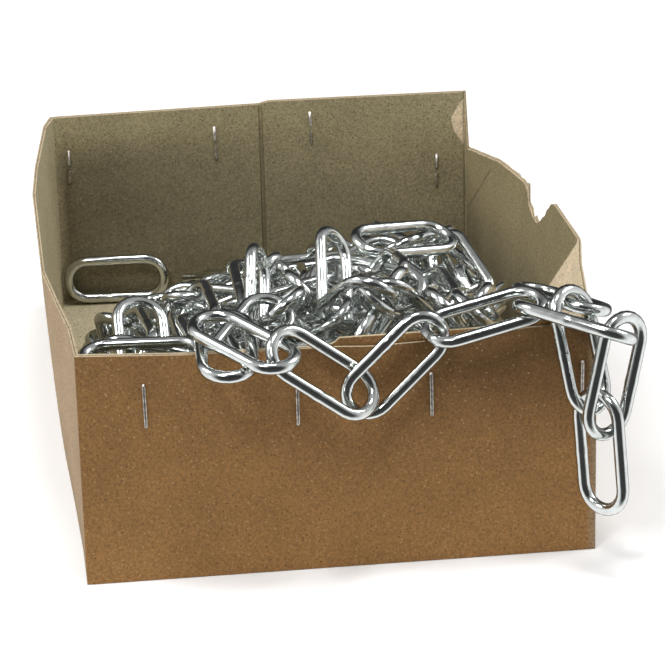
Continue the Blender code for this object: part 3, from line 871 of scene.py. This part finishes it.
class Nodes:
    """Short calls for making the nodes of a material or a world."""

    def __init__(self, owner):
        owner.use_nodes = True
        self.tree = owner.node_tree

    def make(self, kind, **values):
        node = self.tree.nodes.new(kind)
        for key, value in values.items():
            setattr(node, key, value)
        return node

    def join(self, output, socket):
        self.tree.links.new(output, socket)

    def place(self, kind):
        return self.make("ShaderNodeTexCoord").outputs[kind]

    def attribute(self, name, output):
        return self.make("ShaderNodeAttribute", attribute_name=name).outputs[output]

    def noise(self, scale, detail, roughness):
        node = self.make("ShaderNodeTexNoise")
        node.inputs["Scale"].default_value = scale
        node.inputs["Detail"].default_value = detail
        node.inputs["Roughness"].default_value = roughness
        self.join(self.place("Object"), node.inputs["Vector"])
        return node.outputs["Fac"]

    def spots(self, scale):
        """The distance from the nearest of many scattered points."""
        node = self.make("ShaderNodeTexVoronoi")
        node.inputs["Scale"].default_value = scale
        self.join(self.place("Object"), node.inputs["Vector"])
        return node.outputs["Distance"]

    def absolute(self, value):
        node = self.make("ShaderNodeMath", operation="ABSOLUTE")
        self.join(value, node.inputs[0])
        return node.outputs["Value"]

    def spread(self, value, span, target):
        """The span of a value spread over the target, and held at its ends."""
        node = self.make("ShaderNodeMapRange", clamp=True)
        for key, number in zip(MAP_SOCKETS, (*span, *target)):
            node.inputs[key].default_value = number
        self.join(value, node.inputs["Value"])
        return node.outputs["Result"]

    def scaled(self, colour, factor):
        node = self.make("ShaderNodeVectorMath", operation="SCALE")
        self.join(colour, node.inputs[0])
        self.join(factor, node.inputs["Scale"])
        return node.outputs["Vector"]

    def mixed(self, factor, first, second):
        """A first colour, fixed or an output, that gives way to a fixed second one as the factor grows."""
        node = self.make("ShaderNodeMix", data_type="RGBA")
        self.join(factor, node.inputs["Factor"])
        if isinstance(first, tuple):
            node.inputs[MIX_FIRST].default_value = (*first, 1.0)
        else:
            self.join(first, node.inputs[MIX_FIRST])
        node.inputs[MIX_SECOND].default_value = (*second, 1.0)
        return node.outputs[MIX_RESULT]

    def bump(self, height, strength, distance):
        node = self.make("ShaderNodeBump")
        node.inputs["Strength"].default_value = strength
        node.inputs["Distance"].default_value = distance
        self.join(height, node.inputs["Height"])
        return node.outputs["Normal"]


def make_material(name):
    """A new material, its nodes and the sockets of its shader."""
    material = bpy.data.materials.new(name)
    nodes = Nodes(material)
    return material, nodes, nodes.tree.nodes["Principled BSDF"].inputs


def board_material():
    """Solid board of waste paper: cloudy tone, short fibres, dark and pale specks."""
    material, nodes, sockets = make_material("speckled board")
    # Pale patches: painted light on the right wall's inside, torn ply on the back panel
    bare = nodes.spread(nodes.attribute("bare", "Fac"), PATCH_EDGE, (0.0, 1.0))
    colour = nodes.mixed(bare, nodes.attribute("tone", "Color"), LIT_PATCH_AND_TORN_PLY)
    off_shade_line = nodes.absolute(nodes.attribute("shade_line", "Fac"))
    # The painted shade line of the fold and of the back panel's cut end
    colour = nodes.mixed(nodes.spread(off_shade_line, SHADE_LINE_EDGE, (SHADE_LINE_STRENGTH, 0.0)), colour, SHADE_LINE_COLOUR)
    for pattern, tones in BOARD_TONES:
        colour = nodes.scaled(colour, nodes.spread(nodes.noise(*pattern), NOISE_MIDDLE, tones))
    dark = nodes.spread(nodes.noise(*BOARD_DARK_SPECKS), DARK_SPECK_SPAN, (0.0, DARK_SPECK_STRENGTH))
    colour = nodes.mixed(dark, colour, DARK_SPECK)
    pale = nodes.spread(nodes.spots(PALE_SPECK_SCALE), PALE_SPECK_SPAN, (PALE_SPECK_STRENGTH, 0.0))
    colour = nodes.mixed(pale, colour, PALE_SPECK)
    nodes.join(colour, sockets["Base Color"])
    dullness = nodes.spread(nodes.noise(*BOARD_DULL_PLACES), NOISE_MIDDLE, BOARD_DULLNESS)
    nodes.join(dullness, sockets["Roughness"])
    sockets["Specular IOR Level"].default_value = BOARD_SPECULAR
    bump = nodes.bump(nodes.noise(*BOARD_BUMPS), BOARD_BUMP_STRENGTH, BOARD_BUMP_DEPTH)
    nodes.join(bump, sockets["Normal"])
    return material


def metal_material(name, metal):
    """A bare metal surface: a little cloudy, here and there duller, and faintly uneven."""
    material, nodes, sockets = make_material(name)
    cloud = nodes.spread(nodes.noise(*metal["clouds"]), NOISE_CORE, (0.0, 1.0))
    nodes.join(nodes.mixed(cloud, metal["cloud_colour"], metal["colour"]), sockets["Base Color"])
    sockets["Metallic"].default_value = 1.0
    dullness = nodes.spread(nodes.noise(*metal["dull_places"]), NOISE_MIDDLE, metal["dullness"])
    nodes.join(dullness, sockets["Roughness"])
    bump = nodes.bump(nodes.noise(*metal["bumps"]), metal["bump_strength"], metal["bump_depth"])
    nodes.join(bump, sockets["Normal"])
    return material


def stage_material():
    material, _, sockets = make_material("pale floor")
    sockets["Base Color"].default_value = STAGE_COLOUR
    sockets["Roughness"].default_value = STAGE_ROUGHNESS
    sockets["Specular IOR Level"].default_value = STAGE_SPECULAR
    return material


# The studio


def set_camera():
    data = bpy.data.cameras.new("camera")
    data.lens = CAMERA_LENS
    data.sensor_width = CAMERA_SENSOR
    data.clip_start = CAMERA_NEAREST
    camera = bpy.data.objects.new("camera", data)
    camera.location = CAMERA_PLACE
    camera.rotation_euler = Euler([math.radians(angle) for angle in CAMERA_TURN])
    bpy.context.scene.collection.objects.link(camera)
    bpy.context.scene.camera = camera


def add_lamp(name, place, size, power):
    data = bpy.data.lights.new(name, "AREA")
    data.shape = "RECTANGLE"
    data.size, data.size_y = size
    data.energy = power
    lamp = bpy.data.objects.new(name, data)
    lamp.location = place
    direction = Vector(LAMP_TARGET) - Vector(place)
    lamp.rotation_euler = direction.to_track_quat("-Z", "Y").to_euler()
    bpy.context.scene.collection.objects.link(lamp)


def set_world():
    """A room that is bright at both sides and dark before and behind, which draws dark lines in the wire."""
    world = bpy.data.worlds.new("studio")
    nodes = Nodes(world)
    direction = nodes.make("ShaderNodeSeparateXYZ")
    nodes.join(nodes.place("Generated"), direction.inputs[0])
    by_depth = nodes.spread(nodes.absolute(direction.outputs["Y"]), *BRIGHTNESS_BY_DEPTH)
    by_height = nodes.spread(direction.outputs["Z"], *BRIGHTNESS_BY_HEIGHT)
    product = nodes.make("ShaderNodeMath", operation="MULTIPLY")
    nodes.join(by_depth, product.inputs[0])
    nodes.join(by_height, product.inputs[1])
    background = nodes.tree.nodes["Background"]
    background.inputs["Color"].default_value = (1, 1, 1, 1)
    nodes.join(product.outputs["Value"], background.inputs["Strength"])
    bpy.context.scene.world = world


def set_stage():
    """A plain pale floor, which the metal doesn't mirror, under the lamps."""
    bm = bmesh.new()
    bmesh.ops.create_grid(bm, x_segments=1, y_segments=1, size=STAGE_HALF_SIZE)
    mesh = bpy.data.meshes.new("floor")
    bm.to_mesh(mesh)
    bm.free()
    mesh.materials.append(stage_material())
    floor = bpy.data.objects.new("floor", mesh)
    floor.location = (0, 0, STAGE_HEIGHT)
    bpy.context.scene.collection.objects.link(floor)
    floor.visible_glossy = False
    set_world()
    for lamp in LAMPS:
        add_lamp(*lamp)


# The part


def build_stitches(steel):
    chance = random.Random(STITCH_SEED)
    for panel, places, out in (("front", FRONT_STITCHES, -1), ("back", BACK_STITCHES, 1)):
        for number, (x, foot) in enumerate(places, 1):
            lean = chance.uniform(-STITCH_LEAN, STITCH_LEAN)
            obj = build_stitch(f"{panel}_stitch_{number}", x, foot, out, lean, steel)


def build_named_links(heap, zinc, chance):
    """The frame's links, which stay where they are."""
    for name in sorted(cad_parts):
        if "link" not in name:
            continue
        middle, directions = node_pose(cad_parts[name])
        heap.add(middle, directions, 0.0)
        bm = bmesh.new()
        link_mesh(bm, middle, directions, NAMED_LINK_STEPS, chance)
        obj = finish_object("fine_" + name, bm, zinc, LINK_SHARP)
        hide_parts(name)


def build_loose_links(heap, zinc, chance):
    """The links that the core stands for, settled among the named ones, in groups from front to back."""
    fixed = len(heap.middles)
    for layer in LAYERS:
        lay_layer(heap, *layer, chance)
    for strand in CREST:
        lay_strand(heap, strand_joints(strand), chance)
    heap.settle()
    order = sorted(range(fixed, len(heap.middles)), key=lambda i: heap.middles[i][1])
    ends = [len(order) * number // len(LINK_GROUPS) for number in range(len(LINK_GROUPS) + 1)]
    for group, start, end in zip(LINK_GROUPS, ends, ends[1:]):
        bm = bmesh.new()
        for i in order[start:end]:
            link_mesh(bm, heap.middles[i], heap.frames[i], LOOSE_LINK_STEPS, chance)
        obj = finish_object("heap_links_" + group, bm, zinc, LINK_SHARP)
        if group == LINK_GROUPS[0]:
            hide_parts("chain_core")


def main():
    bpy.context.scene.view_settings.view_transform = "Standard"
    set_camera()
    set_stage()
    carton = build_carton(board_material())
    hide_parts("carton")
    build_stitches(metal_material("stitching wire steel", STEEL))
    heap = Heap()
    zinc = metal_material("bright zinc plate", ZINC)
    chance = random.Random(LINK_SEED)
    build_named_links(heap, zinc, chance)
    build_loose_links(heap, zinc, chance)


main()
